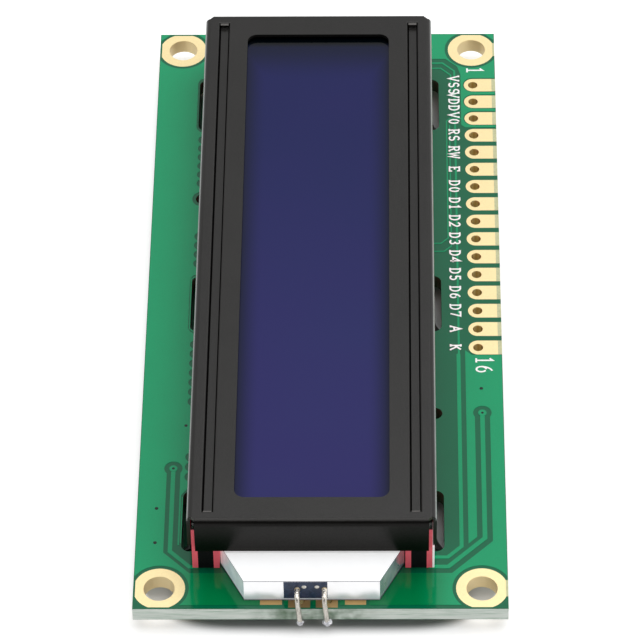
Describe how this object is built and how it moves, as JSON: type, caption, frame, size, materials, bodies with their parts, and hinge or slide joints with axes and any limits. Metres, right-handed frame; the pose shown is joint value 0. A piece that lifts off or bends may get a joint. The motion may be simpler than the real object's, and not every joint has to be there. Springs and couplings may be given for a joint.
{
  "type": "character lcd module",
  "caption": "Flat green circuit board carrying a long liquid crystal display in a folded black steel bezel, with an edge-lit backlight tail and a row of plated header holes.",
  "frame": {"origin": "on the board's display face, midway between the four mounting holes", "axes": "+X along the module towards the backlight's lamp, +Y across it towards the header row, +Z out of the display"},
  "size_m": [0.0809, 0.036, 0.0104],
  "materials": {
    "green_laminate": "glossy green solder mask over glass-fibre laminate",
    "gold_plate": "thin gold over nickel on copper",
    "black_sheet_steel": "matte black coating, fine grain",
    "front_film": "semi-gloss polarizing film, deep indigo",
    "cell_glass": "clear float glass",
    "seal_resin": "cured resin",
    "rear_film": "polarizing film",
    "black_elastomer": "carbon-filled silicone, matte",
    "pink_elastomer": "soft pink silicone, matte",
    "white_film": "white reflective film",
    "diffuser_film": "frosted white film",
    "white_plastic": "moulded white plastic",
    "clear_acrylic": "clear acrylic",
    "navy_resin": "dark blue lamp housing, semi-gloss",
    "tinned_wire": "tinned, slightly dull",
    "solder": "dull solder",
    "black_resin": "cured black resin, semi-matte",
    "resistor_black": "printed black glaze",
    "capacitor_tan": "tan fired ceramic"
  },
  "bodies": {
    "root": {"circuit_board": "green_laminate", "mounting_pads": "gold_plate", "header_pads": "gold_plate", "backlight_pads": "gold_plate", "bezel": "black_sheet_steel", "front_polarizer": "front_film", "front_glass": "cell_glass", "cell_seal": "seal_resin", "rear_glass": "cell_glass", "rear_polarizer": "rear_film", "strip_core_upper": "black_elastomer", "strip_core_lower": "black_elastomer", "strip_walls_upper": "pink_elastomer", "strip_walls_lower": "pink_elastomer", "strip_shim": "white_film", "diffuser_sheet": "diffuser_film", "backlight_frame": "white_plastic", "light_guide": "clear_acrylic", "reflector_wrap": "white_film", "backlight_led": "navy_resin", "led_lead_anode": "tinned_wire", "led_lead_cathode": "tinned_wire", "lead_solder": "solder", "controller_blob": "black_resin", "driver_blob": "black_resin", "chip_resistors": "resistor_black", "chip_capacitors": "capacitor_tan", "resistor_ends": "solder", "capacitor_ends": "solder"}
  },
  "joints": []
}
